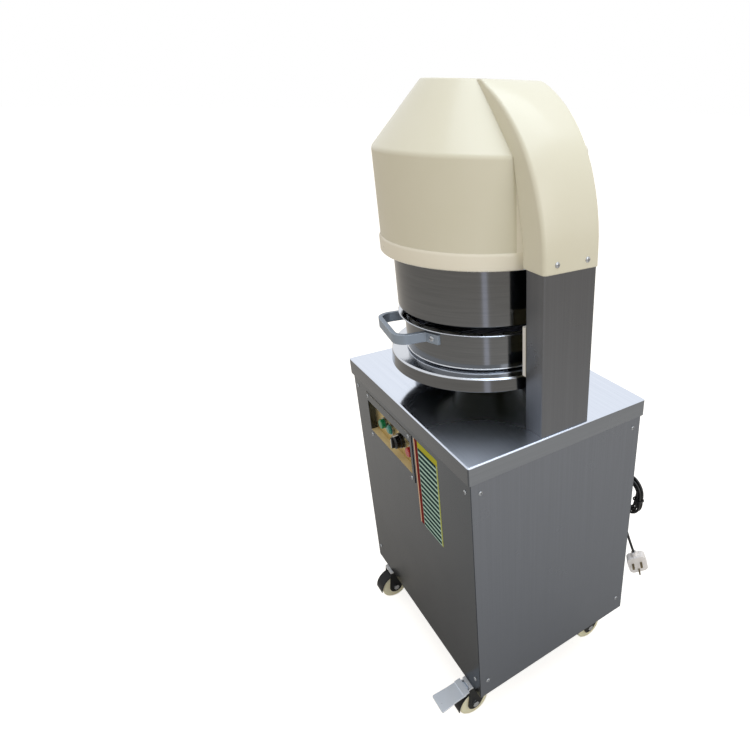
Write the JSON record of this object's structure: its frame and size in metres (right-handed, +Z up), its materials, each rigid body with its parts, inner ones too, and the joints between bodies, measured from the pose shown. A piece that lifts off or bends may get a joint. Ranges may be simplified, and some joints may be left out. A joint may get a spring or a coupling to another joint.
{
  "type": "dough divider",
  "caption": "Floor-standing electric dough divider: hooded press head on two posts over a loose round pan, on a steel cabinet with castors, controls and a coiled power cord.",
  "frame": {"origin": "on the floor under the axis of the drum, in the middle of the cabinet", "axes": "+Z up; -Y to the front, where the controls and the pan's handle are; +X to the right seen from the front"},
  "size_m": [0.5928, 0.6161, 1.37],
  "materials": {
    "stainless_brushed": "fine brushed stainless sheet",
    "stainless_polished": "polished stainless",
    "hood_gelcoat": "cream gelcoat on a glass-fibre moulding",
    "cast_aluminium": "tumbled casting",
    "zinc_plate": "bright zinc plate",
    "frame_paint": "grey primer",
    "dark_steel": "dark satin paint",
    "machined_steel": "machined",
    "spring_steel": "drawn wire",
    "pad_nylon": "food-grade plastic, machined",
    "bronze": "machined bronze",
    "drive_paint": "blue-grey enamel on castings",
    "control_gold": "satin, gold tone",
    "collar_metal": "plated",
    "green_plastic": "moulded",
    "red_plastic": "moulded",
    "lamp_lens": "translucent lens",
    "black_plastic": "moulded",
    "wheel_nylon": "cast nylon",
    "cord_rubber": "flexible sheath",
    "plug_white": "moulded"
  },
  "bodies": {
    "cabinet": {"top_plate": "stainless_brushed", "front_panel": "stainless_brushed", "rear_panel": "stainless_brushed", "left_panel": "stainless_brushed", "right_panel": "stainless_brushed", "left_post": "stainless_brushed", "right_post": "stainless_brushed", "pan_guard": "stainless_brushed", "control_recess": "stainless_brushed", "drum": "stainless_polished", "pan_table": "stainless_polished", "hood": "hood_gelcoat", "panel_screws": "zinc_plate", "hood_screws": "zinc_plate", "castor_plates": "zinc_plate", "base_frame": "frame_paint", "head_plate": "frame_paint", "screw_bearing": "frame_paint", "table_pedestal": "dark_steel", "rod_bushes": "bronze", "gearbox": "drive_paint", "motor": "drive_paint", "control_plate": "control_gold", "button_collars": "collar_metal", "pilot_lamp": "lamp_lens", "switch_blocks": "black_plastic", "cable_gland": "black_plastic", "cord_tie": "black_plastic", "cord_lead": "cord_rubber", "cord_hank": "cord_rubber", "cord_tail": "cord_rubber", "plug": "plug_white"},
    "head": {"knife_carrier": "machined_steel", "knife_skirt": "machined_steel", "knife_grid": "machined_steel", "crosshead": "machined_steel", "pull_rods": "machined_steel", "yoke": "machined_steel", "screw_nut": "bronze", "platen_springs": "spring_steel"},
    "platen": {"press_plate": "machined_steel", "press_pads": "pad_nylon", "guide_rods": "machined_steel"},
    "screw": {"drive_screw": "machined_steel", "screw_coupling": "machined_steel"},
    "pan": {"pan": "stainless_polished", "pan_handle": "cast_aluminium", "handle_bolts": "zinc_plate"},
    "start_button": {"start_button": "green_plastic"},
    "stop_button": {"stop_button": "red_plastic"},
    "selector": {"selector_knob": "black_plastic"},
    "brake_pedal": {"brake_pedal": "zinc_plate"},
    "front_left_castor": {"front_left_fork": "dark_steel"},
    "front_left_wheel": {"front_left_wheel": "wheel_nylon"},
    "front_right_castor": {"front_right_fork": "dark_steel"},
    "front_right_wheel": {"front_right_wheel": "wheel_nylon"},
    "rear_left_castor": {"rear_left_fork": "dark_steel"},
    "rear_left_wheel": {"rear_left_wheel": "wheel_nylon"},
    "rear_right_castor": {"rear_right_fork": "dark_steel"},
    "rear_right_wheel": {"rear_right_wheel": "wheel_nylon"}
  },
  "joints": [
    {"name": "head_press", "type": "slide", "parent": "cabinet", "child": "head", "axis": [0, 0, 1], "range_m": [-0.092, 0]},
    {"name": "platen_slide", "type": "slide", "parent": "head", "child": "platen", "axis": [0, 0, 1], "range_m": [0, 0.055], "stiffness_N_per_m": 1500, "springref_m": -0.02, "deforming": ["platen_springs"]},
    {"name": "screw_turn", "type": "hinge", "parent": "cabinet", "child": "screw", "pos_m": [0, 0, 0.5], "axis": [0, 0, 1], "range_deg": [0, 1656.5]},
    {"name": "pan_slide", "type": "slide", "parent": "cabinet", "child": "pan", "axis": [0, -1, 0], "range_m": [0, 0.2]},
    {"name": "start_press", "type": "slide", "parent": "cabinet", "child": "start_button", "axis": [0, 1, 0], "range_m": [0, 0.004], "stiffness_N_per_m": 900, "springref_m": -0.002},
    {"name": "stop_press", "type": "slide", "parent": "cabinet", "child": "stop_button", "axis": [0, 1, 0], "range_m": [0, 0.004], "stiffness_N_per_m": 900, "springref_m": -0.002},
    {"name": "selector_turn", "type": "hinge", "parent": "cabinet", "child": "selector", "pos_m": [-0.045, -0.21, 0.631], "axis": [0, -1, 0], "range_deg": [-45, 45]},
    {"name": "pedal_tip", "type": "hinge", "parent": "front_right_castor", "child": "brake_pedal", "pos_m": [0.225, -0.228, 0.086], "axis": [1, 0, 0], "range_deg": [0, 25]},
    {"name": "front_left_swivel", "type": "hinge", "parent": "cabinet", "child": "front_left_castor", "pos_m": [-0.225, -0.182, 0.1], "axis": [0, 0, 1], "continuous": true},
    {"name": "front_left_roll", "type": "hinge", "parent": "front_left_castor", "child": "front_left_wheel", "pos_m": [-0.225, -0.212, 0.0375], "axis": [1, 0, 0], "continuous": true},
    {"name": "front_right_swivel", "type": "hinge", "parent": "cabinet", "child": "front_right_castor", "pos_m": [0.225, -0.182, 0.1], "axis": [0, 0, 1], "continuous": true},
    {"name": "front_right_roll", "type": "hinge", "parent": "front_right_castor", "child": "front_right_wheel", "pos_m": [0.225, -0.212, 0.0375], "axis": [1, 0, 0], "continuous": true},
    {"name": "rear_left_swivel", "type": "hinge", "parent": "cabinet", "child": "rear_left_castor", "pos_m": [-0.225, 0.182, 0.1], "axis": [0, 0, 1], "continuous": true},
    {"name": "rear_left_roll", "type": "hinge", "parent": "rear_left_castor", "child": "rear_left_wheel", "pos_m": [-0.225, 0.152, 0.0375], "axis": [1, 0, 0], "continuous": true},
    {"name": "rear_right_swivel", "type": "hinge", "parent": "cabinet", "child": "rear_right_castor", "pos_m": [0.225, 0.182, 0.1], "axis": [0, 0, 1], "continuous": true},
    {"name": "rear_right_roll", "type": "hinge", "parent": "rear_right_castor", "child": "rear_right_wheel", "pos_m": [0.225, 0.152, 0.0375], "axis": [1, 0, 0], "continuous": true}
  ],
  "couplings": [
    {"joint": "screw_turn", "follows": "head_press", "rad_per_m": -314.16}
  ]
}
